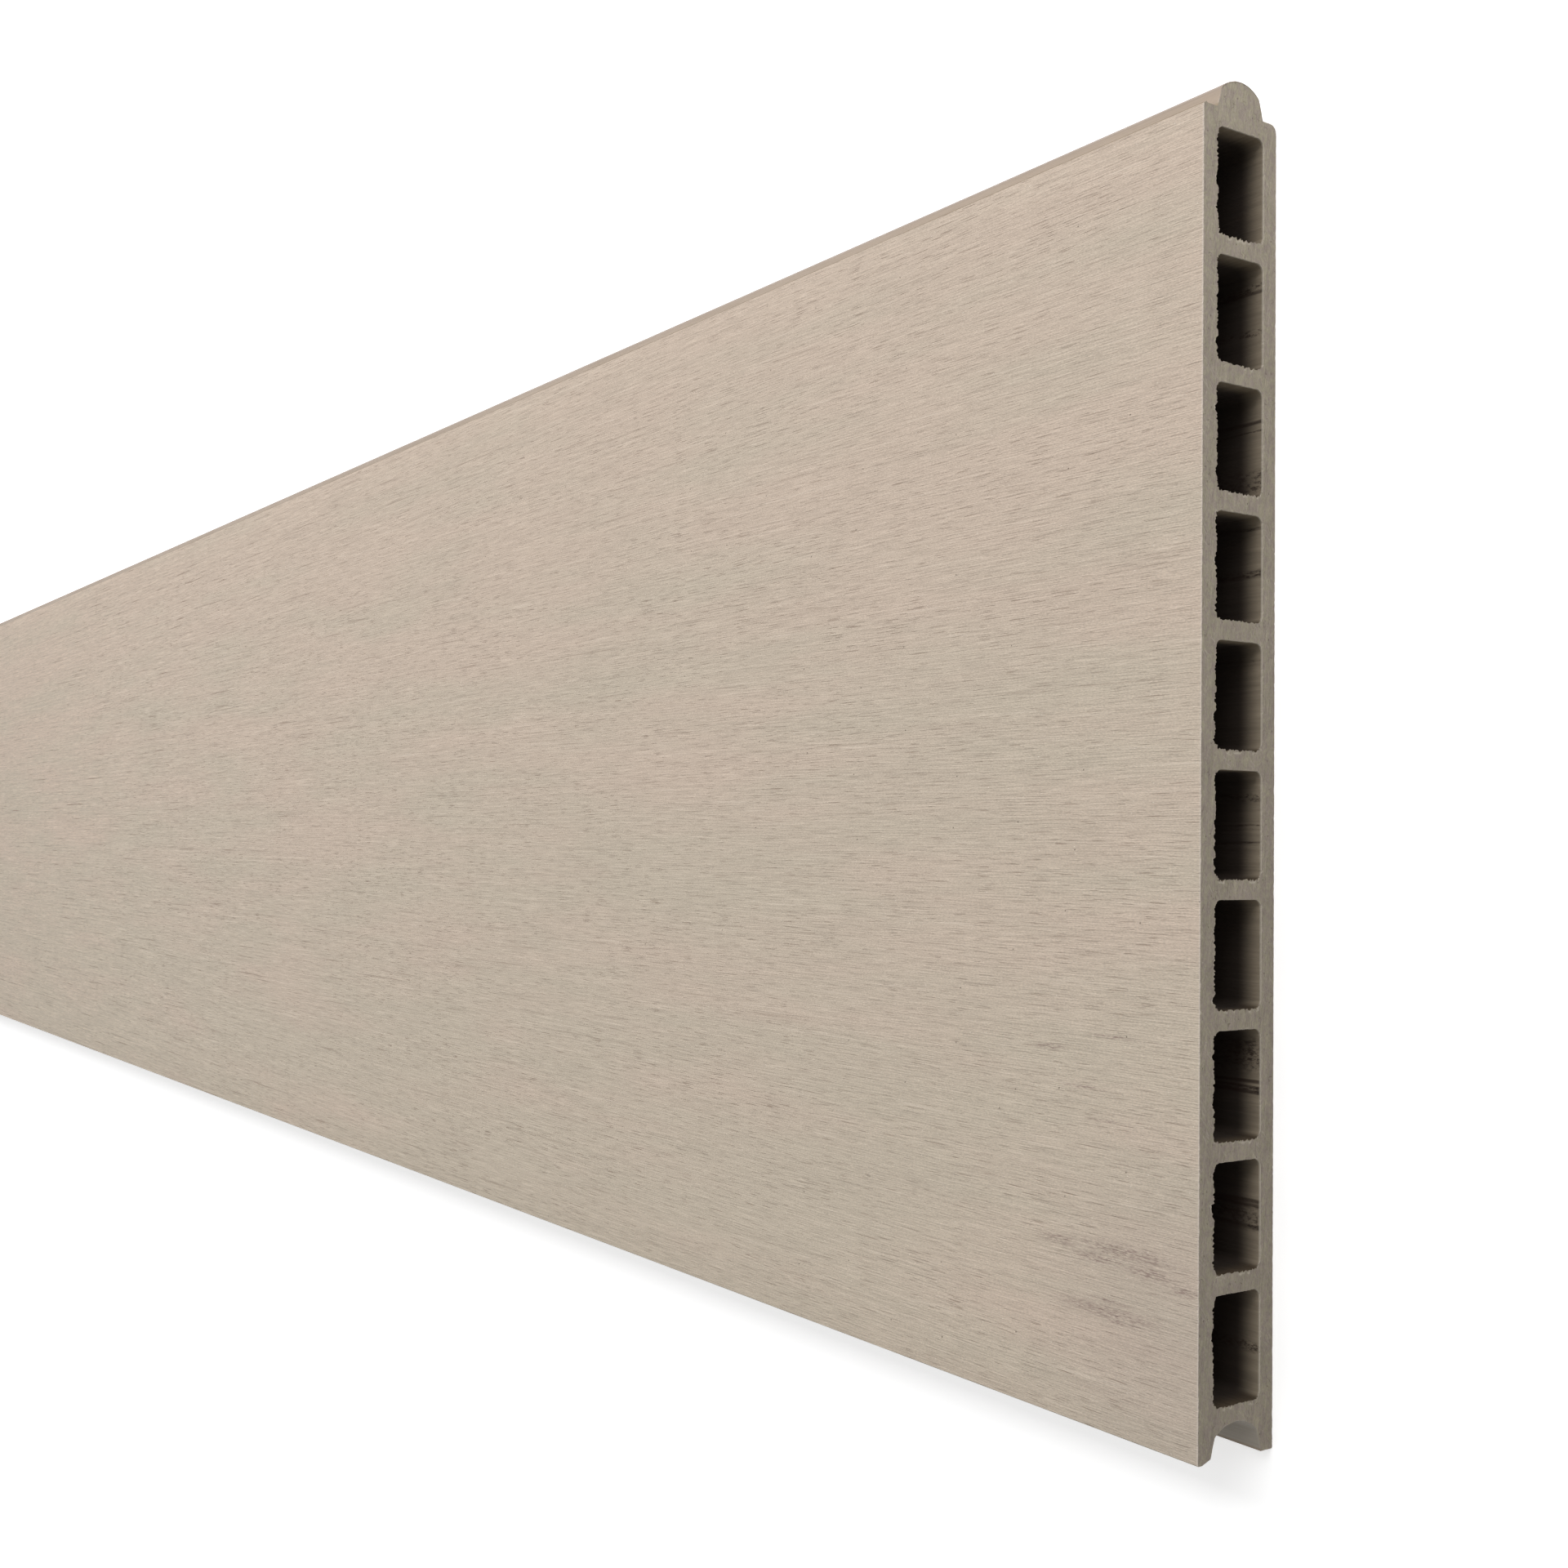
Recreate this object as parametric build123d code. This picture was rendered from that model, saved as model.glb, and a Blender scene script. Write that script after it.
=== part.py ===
"""Hollow-chamber composite fence board with a tongue along one edge and a groove along the other.

The board is one extrusion of wood-plastic composite. It lies on its back face with its show face up:
+X runs along the board, +Y across it towards the tongue, and +Z up through its thickness.
The origin is under the middle of the board, in the plane of its back face. Sizes are in millimetres.
"""

import os

from build123d import *

# The board as it is sold
LENGTH = 1800.0  # cut to fill one bay between two posts
COVER = 300.0  # height of fence that one board makes, from its lips to its shoulders
THICKNESS = 24.0

# Tongue, which stands on the shoulders at the middle of the thickness
TONGUE_WIDTH = 15.2  # where it meets the shoulders
TONGUE_HEIGHT = 7.2
FLANK_HEIGHT = 4.7  # up to where the straight flanks give way to the crown
FLANK_LEAN = 0.30  # how far a flank leans in for each millimetre of height
FLANK_ROUND = 1.5  # between a flank and the crown
JOINT_CLEARANCE = 0.6  # between a tongue and the groove it enters, all round

# Walls around the chambers
FACE_WALL = 4.3  # show face and back face
WEB = 4.4  # between two chambers
HEAD_WALL = 4.3  # between the shoulders and the first chamber
ROOT_WALL = 3.7  # between the groove and the last chamber
CHAMBER_COUNT = 10
CHAMBER_ROUND = 2.0

# Long edges
EDGE_ROUND = 0.4  # the crisp edges that meet the next board
BACK_SHOULDER_ROUND = 2.0  # the eased edge above the back face
LIP_FOOT = 1.5  # what the lead-in bevel leaves of the front lip, measured across the thickness
LIP_BEVEL_HEIGHT = 1.0

# Worked out from the sizes above
MIDDLE = THICKNESS / 2
GROOVE_DEPTH = TONGUE_HEIGHT + JOINT_CLEARANCE
GROOVE_HALF_WIDTH = TONGUE_WIDTH / 2 + JOINT_CLEARANCE
CHAMBER_ZONE_START = GROOVE_DEPTH + ROOT_WALL
CHAMBER_ZONE = COVER - HEAD_WALL - CHAMBER_ZONE_START
CHAMBER_HEIGHT = (CHAMBER_ZONE - (CHAMBER_COUNT - 1) * WEB) / CHAMBER_COUNT
CHAMBER_DEPTH = THICKNESS - 2 * FACE_WALL
CHAMBER_PITCH = CHAMBER_HEIGHT + WEB
LIPS_AT_Y = -(COVER + TONGUE_HEIGHT) / 2  # so that the origin lies under the middle of the whole width


def blank_section():
    """The rectangle from the lips to the shoulders, with its four long edges eased."""
    back_shoulder = (COVER, 0, 0)
    blank = Pos(COVER / 2, MIDDLE) * Rectangle(COVER, THICKNESS)
    crisp_corners = blank.vertices().sort_by_distance(back_shoulder)[1:]
    blank = fillet(crisp_corners, EDGE_ROUND)
    eased_corner = blank.vertices().sort_by_distance(back_shoulder)[0]
    return fillet(eased_corner, BACK_SHOULDER_ROUND)


def joint_section(clearance):
    """The tongue's section, standing on the origin and pointing along X, grown by a clearance."""
    half_base = TONGUE_WIDTH / 2 + clearance
    flank_top = FLANK_HEIGHT + clearance
    half_top = half_base - FLANK_LEAN * flank_top
    tip = TONGUE_HEIGHT + clearance
    outline = Polyline((flank_top, -half_top), (0, -half_base), (0, half_base), (flank_top, half_top))
    crown = ThreePointArc((flank_top, half_top), (tip, 0), (flank_top, -half_top))
    section = make_face(outline + crown)
    crown_corners = section.vertices().group_by(Axis.X)[-1]
    return fillet(crown_corners, FLANK_ROUND)


def lip_bevel():
    """The wedge taken off under the front lip, so that the next tongue slides in."""
    mouth_corner = MIDDLE + GROOVE_HALF_WIDTH
    outer_end = (0, THICKNESS - LIP_FOOT)
    inner_end = (LIP_BEVEL_HEIGHT, mouth_corner - FLANK_LEAN * LIP_BEVEL_HEIGHT)
    return make_face(Polyline((0, MIDDLE), outer_end, inner_end, close=True))


def chamber_sections():
    """The row of chambers, from the one above the groove to the one below the shoulders."""
    chamber = RectangleRounded(CHAMBER_HEIGHT, CHAMBER_DEPTH, CHAMBER_ROUND)
    first = CHAMBER_ZONE_START + CHAMBER_HEIGHT / 2
    return [Pos(first + i * CHAMBER_PITCH, MIDDLE) * chamber for i in range(CHAMBER_COUNT)]


def board_section():
    """The whole section: X from the lips up to the tongue, Y from the back face to the show face."""
    section = blank_section() + Pos(COVER, MIDDLE) * joint_section(0)
    section -= Pos(0, MIDDLE) * joint_section(JOINT_CLEARANCE)
    section -= lip_bevel()
    return section - chamber_sections()


def fence_board():
    """The section placed across the board and extruded along it, half to each side of the origin."""
    across = Plane(origin=(0, LIPS_AT_Y, 0), x_dir=(0, 1, 0), z_dir=(1, 0, 0))
    return extrude(across * board_section(), LENGTH / 2, both=True)


os.makedirs("parts", exist_ok=True)
board = fence_board()
board.label = "fence_board"
export_step(board, "parts/fence_board.step")
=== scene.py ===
"""Looks of a hollow-chamber composite fence board that lies on its back face with its show face up.

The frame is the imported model's own, in metres: +X along the board, +Y across it towards the tongue,
+Z up from the back face to the show face. The board is one closed mesh, swept from its section, with
both sawn ends modelled down to their torn edges.
"""

import math
from dataclasses import dataclass

import bpy
import numpy as np
from mathutils import Matrix, Vector
from mathutils.geometry import delaunay_2d_cdt


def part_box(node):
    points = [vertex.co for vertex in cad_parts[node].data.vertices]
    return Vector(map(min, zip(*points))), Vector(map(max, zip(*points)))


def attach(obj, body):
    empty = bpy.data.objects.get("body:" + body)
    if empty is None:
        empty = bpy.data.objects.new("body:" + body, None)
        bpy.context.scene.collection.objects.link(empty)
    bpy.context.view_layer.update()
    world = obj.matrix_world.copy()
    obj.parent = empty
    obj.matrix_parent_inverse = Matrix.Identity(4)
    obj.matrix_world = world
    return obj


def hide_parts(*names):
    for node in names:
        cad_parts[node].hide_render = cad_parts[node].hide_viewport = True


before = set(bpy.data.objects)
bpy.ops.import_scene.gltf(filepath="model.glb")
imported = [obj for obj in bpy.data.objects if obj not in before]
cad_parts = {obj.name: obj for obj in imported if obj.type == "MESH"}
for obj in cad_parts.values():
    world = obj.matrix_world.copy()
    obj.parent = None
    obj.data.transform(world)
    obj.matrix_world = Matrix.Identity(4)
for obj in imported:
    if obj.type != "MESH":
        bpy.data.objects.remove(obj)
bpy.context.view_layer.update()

# The board's section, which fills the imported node's box
LOW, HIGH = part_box("fence_board")
HALF_LENGTH = HIGH.x
THICKNESS = HIGH.z
MIDDLE = THICKNESS / 2
TONGUE_WIDTH = 0.0152
TONGUE_HEIGHT = 0.0072
FLANK_HEIGHT = 0.0047
FLANK_LEAN = 0.30
FLANK_ROUND = 0.0015
JOINT_CLEARANCE = 0.0006
LIPS = LOW.y
SHOULDERS = HIGH.y - TONGUE_HEIGHT
FACE_WALL = 0.0043
WEB = 0.0044
HEAD_WALL = 0.0043
ROOT_WALL = 0.0037
CHAMBER_COUNT = 10
CHAMBER_ROUND = 0.0020
EDGE_ROUND = 0.0004
BACK_SHOULDER_ROUND = 0.0020
LIP_FOOT = 0.0015
LIP_BEVEL_HEIGHT = 0.0010
GROOVE_HALF_WIDTH = TONGUE_WIDTH / 2 + JOINT_CLEARANCE
GROOVE_ROOT = LIPS + TONGUE_HEIGHT + JOINT_CLEARANCE
CHAMBERS_START = GROOVE_ROOT + ROOT_WALL
CHAMBERS_END = SHOULDERS - HEAD_WALL
CHAMBER_HEIGHT = (CHAMBERS_END - CHAMBERS_START - (CHAMBER_COUNT - 1) * WEB) / CHAMBER_COUNT
CHAMBER_PITCH = CHAMBER_HEIGHT + WEB

# How finely the mesh follows the section
LONGEST_PIECE = 0.012  # of a straight stretch, away from the ends
WIDEST_TURN = math.radians(18)  # of a round stretch, away from the ends
STEPS = {1: (0.00025, 0.00015), -1: (0.00045, 0.00030)}  # round the outside and round a mouth, by end
TORN_DEPTHS = (0.0, 0.00008, 0.00025, 0.0006, 0.0012, 0.0020)  # rings that hold torn edges
FIRST_PLAIN_DEPTH = 0.004
END_ZONE = 0.020  # stretch at each end that gets its own share of the baked picture
RING_SPACING = 0.090


@dataclass
class Stretch:
    """A straight or round stretch of an outline in the (y, z) plane, with the material on its left."""

    at: object  # gives the points at an array of fractions
    length: float
    pieces: int
    region: str

    def reversed(self):
        return Stretch(lambda f: self.at(1 - f), self.length, self.pieces, self.region)


def straight(start, end, region):
    start, end = np.array(start, float), np.array(end, float)
    length = float(np.linalg.norm(end - start))
    pieces = max(1, math.ceil(length / LONGEST_PIECE))
    return Stretch(lambda f: start + np.outer(f, end - start), length, pieces, region)


def arc(centre, radius, start, end, region):
    def at(f):
        angle = start + f * (end - start)
        return np.array(centre) + radius * np.stack([np.cos(angle), np.sin(angle)], 1)

    turn = abs(end - start)
    return Stretch(at, radius * turn, max(1, math.ceil(turn / WIDEST_TURN)), region)


def rounded_path(corners, radii, regions):
    """Straight stretches from corner to corner, with arcs of the given radii at the inner corners."""
    corners = [np.array(c, float) for c in corners]
    path = []
    start = corners[0]
    for i in range(1, len(corners) - 1):
        corner, radius = corners[i], radii[i - 1]
        if radius == 0:
            path.append(straight(start, corner, regions[i - 1]))
            start = corner
            continue
        back = (corners[i - 1] - corner) / np.linalg.norm(corners[i - 1] - corner)
        onward = (corners[i + 1] - corner) / np.linalg.norm(corners[i + 1] - corner)
        half_angle = math.acos(float(back @ onward)) / 2
        reach = radius / math.tan(half_angle)
        bisector = (back + onward) / np.linalg.norm(back + onward)
        centre = corner + bisector * radius / math.sin(half_angle)
        entry, leave = corner + back * reach, corner + onward * reach
        path.append(straight(start, entry, regions[i - 1]))
        first = math.atan2(entry[1] - centre[1], entry[0] - centre[0])
        last = math.atan2(leave[1] - centre[1], leave[0] - centre[0])
        turn = (last - first + math.pi) % (2 * math.pi) - math.pi
        path.append(arc(centre, radius, first, first + turn, regions[i - 1]))
        start = leave
    path.append(straight(start, corners[-1], regions[-1]))
    return path


def crown(clearance):
    """The radius of the joint's crown, and how far above the base line its centre lies."""
    flank_top = FLANK_HEIGHT + clearance
    half_top = TONGUE_WIDTH / 2 + clearance - FLANK_LEAN * flank_top
    rise = TONGUE_HEIGHT - FLANK_HEIGHT
    radius = (half_top**2 + rise**2) / (2 * rise)
    return radius, flank_top + rise - radius


def joint_path(base, clearance, front_foot=0.0):
    """The joint's outline on a base line, from its back flank over the crown to its front flank."""
    half_base = TONGUE_WIDTH / 2 + clearance
    crown_radius, crown_centre = crown(clearance)

    # The arc between the front flank and the crown touches both, in (height, half width)
    outwards = np.array([FLANK_LEAN, 1]) / math.hypot(FLANK_LEAN, 1)
    along = np.array([outwards[1], -outwards[0]])
    foot = np.array([0, half_base])
    from_crown = foot - outwards * FLANK_ROUND - (crown_centre, 0)
    behind = from_crown @ along
    gap = crown_radius - FLANK_ROUND
    flank_length = math.sqrt(behind**2 - from_crown @ from_crown + gap**2) - behind
    flank_end = foot + along * flank_length
    turn_centre = flank_end - outwards * FLANK_ROUND
    flank_angle = math.atan2(outwards[1], outwards[0])
    crown_angle = math.atan2(turn_centre[1], turn_centre[0] - crown_centre)

    def front(height, half_width):
        return base + height, MIDDLE + half_width

    def back(height, half_width):
        return base + height, MIDDLE - half_width

    foot_end = front(front_foot, half_base - FLANK_LEAN * front_foot)
    return [
        straight(back(*foot), back(*flank_end), "edge"),
        arc(back(*turn_centre), FLANK_ROUND, -flank_angle, -crown_angle, "edge"),
        arc((base + crown_centre, MIDDLE), crown_radius, -crown_angle, crown_angle, "edge"),
        arc(front(*turn_centre), FLANK_ROUND, crown_angle, flank_angle, "edge"),
        straight(front(*flank_end), foot_end, "edge"),
    ]


def outer_path():
    """Once round the board: back face, shoulders and tongue, show face, lips and groove."""
    back_mouth = (LIPS, MIDDLE - GROOVE_HALF_WIDTH)
    back_shoulder = (SHOULDERS, MIDDLE - TONGUE_WIDTH / 2)
    front_shoulder = (SHOULDERS, MIDDLE + TONGUE_WIDTH / 2)
    bevel_height = MIDDLE + GROOVE_HALF_WIDTH - FLANK_LEAN * LIP_BEVEL_HEIGHT
    bevel_end = (LIPS + LIP_BEVEL_HEIGHT, bevel_height)
    back = rounded_path(
        [back_mouth, (LIPS, 0), (SHOULDERS, 0), back_shoulder],
        [EDGE_ROUND, BACK_SHOULDER_ROUND],
        ["edge", "back", "edge"],
    )
    front_corners = [
        front_shoulder,
        (SHOULDERS, THICKNESS),
        (LIPS, THICKNESS),
        (LIPS, THICKNESS - LIP_FOOT),
        bevel_end,
    ]
    front = rounded_path(front_corners, [EDGE_ROUND, EDGE_ROUND, 0], ["edge", "show", "edge", "edge"])
    groove = joint_path(LIPS, JOINT_CLEARANCE, front_foot=LIP_BEVEL_HEIGHT)
    groove = [stretch.reversed() for stretch in reversed(groove)]
    return back + joint_path(SHOULDERS, 0) + front + groove


def chamber_path(number):
    """One chamber's outline, with the hollow on its right, starting in the middle of its back wall."""
    low = CHAMBERS_START + number * CHAMBER_PITCH
    high = low + CHAMBER_HEIGHT
    bottom, top = FACE_WALL, THICKNESS - FACE_WALL
    start = ((low + high) / 2, bottom)
    corners = [start, (low, bottom), (low, top), (high, top), (high, bottom), start]
    return rounded_path(corners, [CHAMBER_ROUND] * 4, ["chamber"] * 5)


@dataclass
class Loop:
    """A path sampled finely for one end. Its coarse points are those that the rest of the board has too."""

    points: np.ndarray
    outwards: np.ndarray  # away from the material
    distance: np.ndarray  # along the path, one more than the points
    regions: list  # one for each edge
    share: np.ndarray  # where each edge starts and ends within its region, from 0 to 1
    coarse: list

    def edge_ends(self):
        """The coarse points' indices with the first one again at the end."""
        return self.coarse + [len(self.points)]


def sampled(path, step):
    points, regions, coarse, steps = [], [], [], []
    for stretch in path:
        finer = max(1, math.ceil(stretch.length / stretch.pieces / step))
        count = stretch.pieces * finer
        coarse += [len(points) + k * finer for k in range(stretch.pieces)]
        points += list(stretch.at(np.arange(count) / count))
        regions += [stretch.region] * count
        steps += [stretch.length / count] * count
    points, steps = np.array(points), np.array(steps)
    tangent = np.roll(points, -1, 0) - np.roll(points, 1, 0)
    tangent /= np.linalg.norm(tangent, axis=1, keepdims=True)
    outwards = np.stack([tangent[:, 1], -tangent[:, 0]], 1)
    share = np.zeros((len(points), 2))
    for region in set(regions):
        here = np.array([r == region for r in regions])
        run = np.cumsum(steps[here])
        share[here, 0] = (run - steps[here]) / run[-1]
        share[here, 1] = run / run[-1]
    return Loop(points, outwards, np.concatenate([[0], np.cumsum(steps)]), regions, share, coarse)


# The bites along an edge: the shortest, the longest, the deepest, and how rare the deep ones are
BITES = (0.0018, 0.0048, 0.00078, 2.2)
CHIPS = (0.0006, 0.0015, 0.00050, 1.1)
TEETH = (0.0005, 0.0016, 0.00098, 1.2)
NICKS = (0.0003, 0.0008, 0.00019, 1.6)
ARRIS_NICKS = (0.0004, 0.0030, 0.00014, 1.6)  # round the outside
BITE_CURVE = 0.75  # below 1, a bite has steep sides and a broad floor
CUSPS_ON_SHOW_SIDE = 0.00078  # how far the cusps stand into a mouth
CUSPS_ON_LIPS_SIDE = 0.00043
CUSP_REACH = 0.00022  # how deep a cusp goes into the chamber
TEAR_REACH = 2.2  # how deep a tear goes, for each metre that it is wide
LEAST_TEAR_REACH = 0.0002
TEAR_CURVE = 1.2  # above 1, it narrows fastest near the end face
FULLY_TORN = 0.0003  # how far a vertex is set back where it counts as torn all through
ARRIS_ROUND = 0.00010  # where the end face meets a wall
BURR_WIDTH = 0.0004
BURR_HEIGHT = 0.0003


def scallops(loop, rng, shortest, longest, deepest, rarity):
    """Bites that follow each other along an edge, most of them shallow, with a cusp between each two."""
    length = loop.distance[-1]
    gaps = rng.uniform(shortest, longest, int(length / shortest) + 2)
    ends = np.concatenate([[0], np.cumsum(gaps)])
    here = loop.distance[:-1]
    which = np.searchsorted(ends, here, side="right") - 1
    share = (here - ends[which]) / gaps[which]
    skew = rng.uniform(0.6, 1.6, len(ends))[which]
    depth = deepest * rng.random(len(ends)) ** rarity
    closing = np.clip((length - here) / longest, 0, 1)
    return depth[which] * np.sin(np.pi * share**skew) ** BITE_CURVE * closing


def torn_mouth(loop, rng):
    """How far a chamber's mouth is torn back at each point. The saw tears it most on the show side."""
    show_side = np.clip(-loop.outwards[:, 1], 0, 1)
    lips_side = np.clip(loop.outwards[:, 0], 0, 1)
    bites = scallops(loop, rng, *BITES) * show_side**2
    chips = scallops(loop, rng, *CHIPS) * show_side
    teeth = scallops(loop, rng, *TEETH) * lips_side**1.5
    nicks = scallops(loop, rng, *NICKS) * (1 + show_side)
    cusps = CUSPS_ON_SHOW_SIDE * show_side + CUSPS_ON_LIPS_SIDE * lips_side
    return bites + chips + teeth + nicks - cusps


def torn_arris(loop, rng):
    """The outer edges are a little broken all round, and a burr stands at the front shoulder's corner."""
    torn = scallops(loop, rng, *ARRIS_NICKS)
    along = np.abs(loop.points[:, 1] - (THICKNESS - EDGE_ROUND - BURR_WIDTH))
    on_shoulder = np.abs(loop.points[:, 0] - SHOULDERS) < 1e-6
    burr = BURR_HEIGHT * np.clip(1 - along / BURR_WIDTH, 0, 1) * on_shoulder
    return np.where(burr > 0, -burr, torn)


def torn_rings(loop, torn):
    """The loop's points at each torn depth, and how torn each is."""
    rings = []
    for depth in TORN_DEPTHS:
        reach = np.where(torn > 0, LEAST_TEAR_REACH + TEAR_REACH * torn, CUSP_REACH)
        left = np.clip(1 - depth / reach, 0, 1) ** TEAR_CURVE
        eased = ARRIS_ROUND * max(0.0, 1 - depth / ARRIS_ROUND) ** 2
        inset = torn * left + eased
        rings.append((loop.points - loop.outwards * inset[:, None], np.clip(inset / FULLY_TORN, 0, 1)))
    return rings


# Where each region lies on the baked picture, as left, bottom, right, top
PICTURE = {
    "show": (0.002, 0.560, 0.998, 0.998),
    "back": (0.002, 0.380, 0.998, 0.556),
    "edge": (0.002, 0.310, 0.998, 0.376),
    "near cut": (0.002, 0.222, 0.998, 0.302),
    "far cut": (0.002, 0.138, 0.998, 0.218),
}
CHAMBER_PICTURE = (0.002, 0.004, 0.998, 0.134)
END_ZONE_SHARE = 0.06  # of the picture's width
MATERIAL_OF = {"show": 0, "back": 0, "edge": 1, "chamber": 2, "cut": 3}
SHARPEST_SMOOTH = math.radians(32)  # an edge that turns by more is drawn sharp
MILLIMETRES = 1000  # the end faces are triangulated in millimetres
MERGING_DISTANCE = 1e-6  # in them


def picture_row(region, chamber):
    if region != "chamber":
        return PICTURE[region]
    left, bottom, right, top = CHAMBER_PICTURE
    row = (top - bottom) / CHAMBER_COUNT
    return left, bottom + chamber * row, right, bottom + (chamber + 0.9) * row


def along_picture(x):
    """From 0 to 1 along the board, with more of the picture for the zones at the ends."""
    inner = HALF_LENGTH - END_ZONE
    places = [-HALF_LENGTH, -inner, inner, HALF_LENGTH]
    return np.interp(x, places, [0, END_ZONE_SHARE, 1 - END_ZONE_SHARE, 1])


class Skin:
    """The board's vertices and faces, with each face's material and place on the baked picture."""

    def __init__(self):
        self.places, self.torn = [], []
        self.faces, self.materials, self.picture = [], [], []
        self.count = 0

    def ring(self, points, x, torn=0.0):
        """Adds a ring of vertices and returns the index of its first."""
        first = self.count
        self.places.append(np.column_stack([np.broadcast_to(x, len(points)), points]))
        self.torn.append(np.broadcast_to(torn, len(points)))
        self.count += len(points)
        return first

    def face(self, indices, material, picture):
        self.faces.append(indices)
        self.materials.append(material)
        self.picture += picture

    def bridge(self, loop, one, other, chamber, coarse=False):
        """Quads between two rings of one loop, each given as its first vertex and its x."""
        (nearer, x_nearer), (farther, x_farther) = sorted((one, other), key=lambda ring: -ring[1])
        ends = loop.edge_ends() if coarse else range(len(loop.points) + 1)
        count = len(ends) - 1
        u_near, u_far = along_picture(x_nearer), along_picture(x_farther)
        for i in range(count):
            j = (i + 1) % count
            first, last = ends[i], ends[i + 1] - 1
            region = loop.regions[first]
            left, bottom, right, top = picture_row(region, chamber)
            low = bottom + (top - bottom) * loop.share[first, 0]
            high = bottom + (top - bottom) * loop.share[last, 1]
            u_a, u_b = left + (right - left) * u_near, left + (right - left) * u_far
            self.face(
                (nearer + i, farther + i, farther + j, nearer + j),
                MATERIAL_OF[region],
                [(u_a, low), (u_b, low), (u_b, high), (u_a, high)],
            )

    def fan(self, loop, fine_ring, coarse_ring, chamber):
        """Triangles between a fine ring and a coarse one, each given as its first vertex and its x."""
        (fine, x_fine), (coarse, x_coarse) = fine_ring, coarse_ring
        ends = loop.edge_ends()
        fine_count, coarse_count = len(loop.points), len(loop.coarse)
        nearer_is_fine = x_fine > x_coarse
        for j in range(coarse_count):
            first, last = ends[j], ends[j + 1]
            region = loop.regions[first]
            left, bottom, right, top = picture_row(region, chamber)
            u_fine = left + (right - left) * along_picture(x_fine)
            u_coarse = left + (right - left) * along_picture(x_coarse)

            def height(k):
                share = loop.share[k, 0] if k < last else loop.share[last - 1, 1]
                return bottom + (top - bottom) * share

            def add(corners):
                corners = corners if nearer_is_fine else corners[::-1]
                self.face(tuple(c[0] for c in corners), MATERIAL_OF[region], [c[1] for c in corners])

            start = (coarse + j, (u_coarse, height(first)))
            end = (coarse + (j + 1) % coarse_count, (u_coarse, height(last)))
            on_fine = [(fine + k % fine_count, (u_fine, height(k))) for k in range(first, last + 1)]
            middle = (last - first) // 2
            for k in range(last - first):
                add([on_fine[k], start if k < middle else end, on_fine[k + 1]])
            add([on_fine[middle], start, end])

    def cut(self, loops, firsts, mouths, x, relief):
        """The sawn face at x, inside the outer loop and round the chamber mouths, sunk by the relief."""
        rim = np.concatenate(mouths)
        counts = [len(loop.points) for loop in loops]
        edges, start = [], 0
        for count in counts:
            edges += [(start + k, start + (k + 1) % count) for k in range(count)]
            start += count
        inner = inner_points(mouths)
        everything = np.concatenate([rim, inner]) * MILLIMETRES
        made = delaunay_2d_cdt([Vector(p) for p in everything], edges, [], 0, MERGING_DISTANCE, True)
        points, originals = np.array(made[0]) / MILLIMETRES, made[3]
        triangles = np.array(made[2])
        triangles = triangles[inside_of(points[triangles].mean(1), mouths)]
        rim_index = np.concatenate([first + np.arange(count) for first, count in zip(firsts, counts)])
        inwards = -1 if x > 0 else 1
        added = self.ring(inner, x + inwards * relief(inner))
        index = []
        for point, source in zip(points, originals):
            if not source:
                raise RuntimeError(f"two torn edges cross at {point}")
            index.append(rim_index[source[0]] if source[0] < len(rim) else added + source[0] - len(rim))
        left, bottom, right, top = PICTURE["near cut" if x > 0 else "far cut"]
        for triangle in triangles:
            corners = triangle if x > 0 else triangle[::-1]
            picture = []
            for c in corners:
                u = left + (right - left) * (points[c][0] - LOW.y) / (HIGH.y - LOW.y)
                picture.append((u, bottom + (top - bottom) * points[c][1] / THICKNESS))
            self.face(tuple(int(index[c]) for c in corners), MATERIAL_OF["cut"], picture)

    def mesh(self, name, materials):
        mesh = bpy.data.meshes.new(name)
        mesh.from_pydata(np.concatenate(self.places).tolist(), [], self.faces)
        mesh.polygons.foreach_set("material_index", self.materials)
        for material in materials:
            mesh.materials.append(material)
        picture = mesh.uv_layers.new(name="OFBake")
        picture.data.foreach_set("uv", np.array(self.picture, np.float32).ravel())
        torn = mesh.attributes.new("torn", "FLOAT", "POINT")
        torn.data.foreach_set("value", np.concatenate(self.torn).astype(np.float32))
        mesh.shade_smooth()
        mesh.set_sharp_from_angle(angle=SHARPEST_SMOOTH)
        return mesh


def inside_of(points, outlines):
    """Which points lie in the material, by counting the edges to their right."""
    inside = np.zeros(len(points), bool)
    for corners in outlines:
        for a, b in zip(corners, np.roll(corners, -1, 0)):
            spans = (a[1] > points[:, 1]) != (b[1] > points[:, 1])
            if a[1] != b[1]:
                crossing = a[0] + (points[:, 1] - a[1]) * (b[0] - a[0]) / (b[1] - a[1])
                inside ^= spans & (points[:, 0] < crossing)
    return inside


CUT_GRID = 0.0011  # between the points inside an end face
CUT_JITTER = 0.3  # how far each strays, as a share of that
CUT_MARGIN = 0.5  # how near to an edge they come, as a share of it too
GRID_PARTS = 20  # they are sorted out in so many parts, to save memory


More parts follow.
